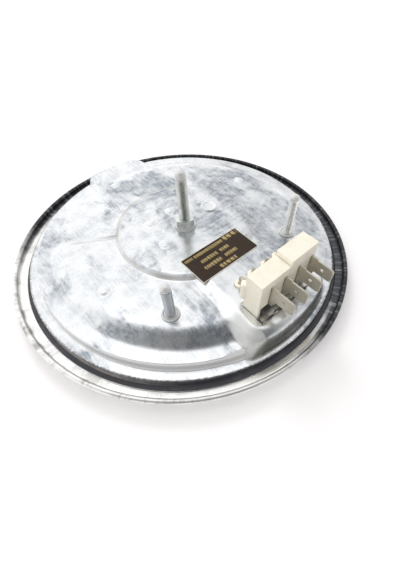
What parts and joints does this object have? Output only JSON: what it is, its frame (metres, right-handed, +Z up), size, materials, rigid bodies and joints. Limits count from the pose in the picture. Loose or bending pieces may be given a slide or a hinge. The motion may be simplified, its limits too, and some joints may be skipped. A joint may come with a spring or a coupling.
{
  "type": "electric hotplate",
  "caption": "Round cast-iron electric hotplate element, shown cooking face down, with a trim ring, sheet cover, clamping stud and spade terminals in ceramic blocks.",
  "frame": {"origin": "centre of the cooking face, which lies on the surface that the plate stands on", "axes": "+Z up along the clamping stud, away from the cooking face; the spade terminals point towards -Y; +X to the right seen from the terminal side"},
  "size_m": [0.16, 0.16, 0.0457],
  "materials": {
    "iron": "matt black",
    "stainless": "polished stainless steel",
    "zinc_sheet": "galvanised, satin",
    "insulation": "matt mineral board",
    "packing": "matt pressed powder",
    "resistance_wire": "dull wire",
    "plated_steel": "bright zinc plating",
    "ceramic": "matt ivory",
    "nickel": "nickel plating",
    "dark_foil": "satin dark brown"
  },
  "bodies": {
    "root": {"plate_casting": "iron", "trim_ring": "stainless", "bottom_cover": "zinc_sheet", "insulating_sheet": "insulation", "packing_outer": "packing", "packing_middle": "packing", "packing_inner": "packing", "coil_outer": "resistance_wire", "coil_middle": "resistance_wire", "coil_inner": "resistance_wire", "centre_stud": "plated_steel", "stud_washer": "plated_steel", "stud_nut": "plated_steel", "side_pin_left": "plated_steel", "side_pin_right": "plated_steel", "terminal_block_low": "ceramic", "terminal_block_high": "ceramic", "tab_1": "nickel", "tab_2": "nickel", "tab_3": "nickel", "tab_4": "nickel", "lead_1": "nickel", "lead_2": "nickel", "lead_3": "nickel", "lead_4": "nickel", "bead_1": "ceramic", "bead_2": "ceramic", "bead_3": "ceramic", "bead_4": "ceramic", "name_plate": "dark_foil"}
  },
  "joints": []
}
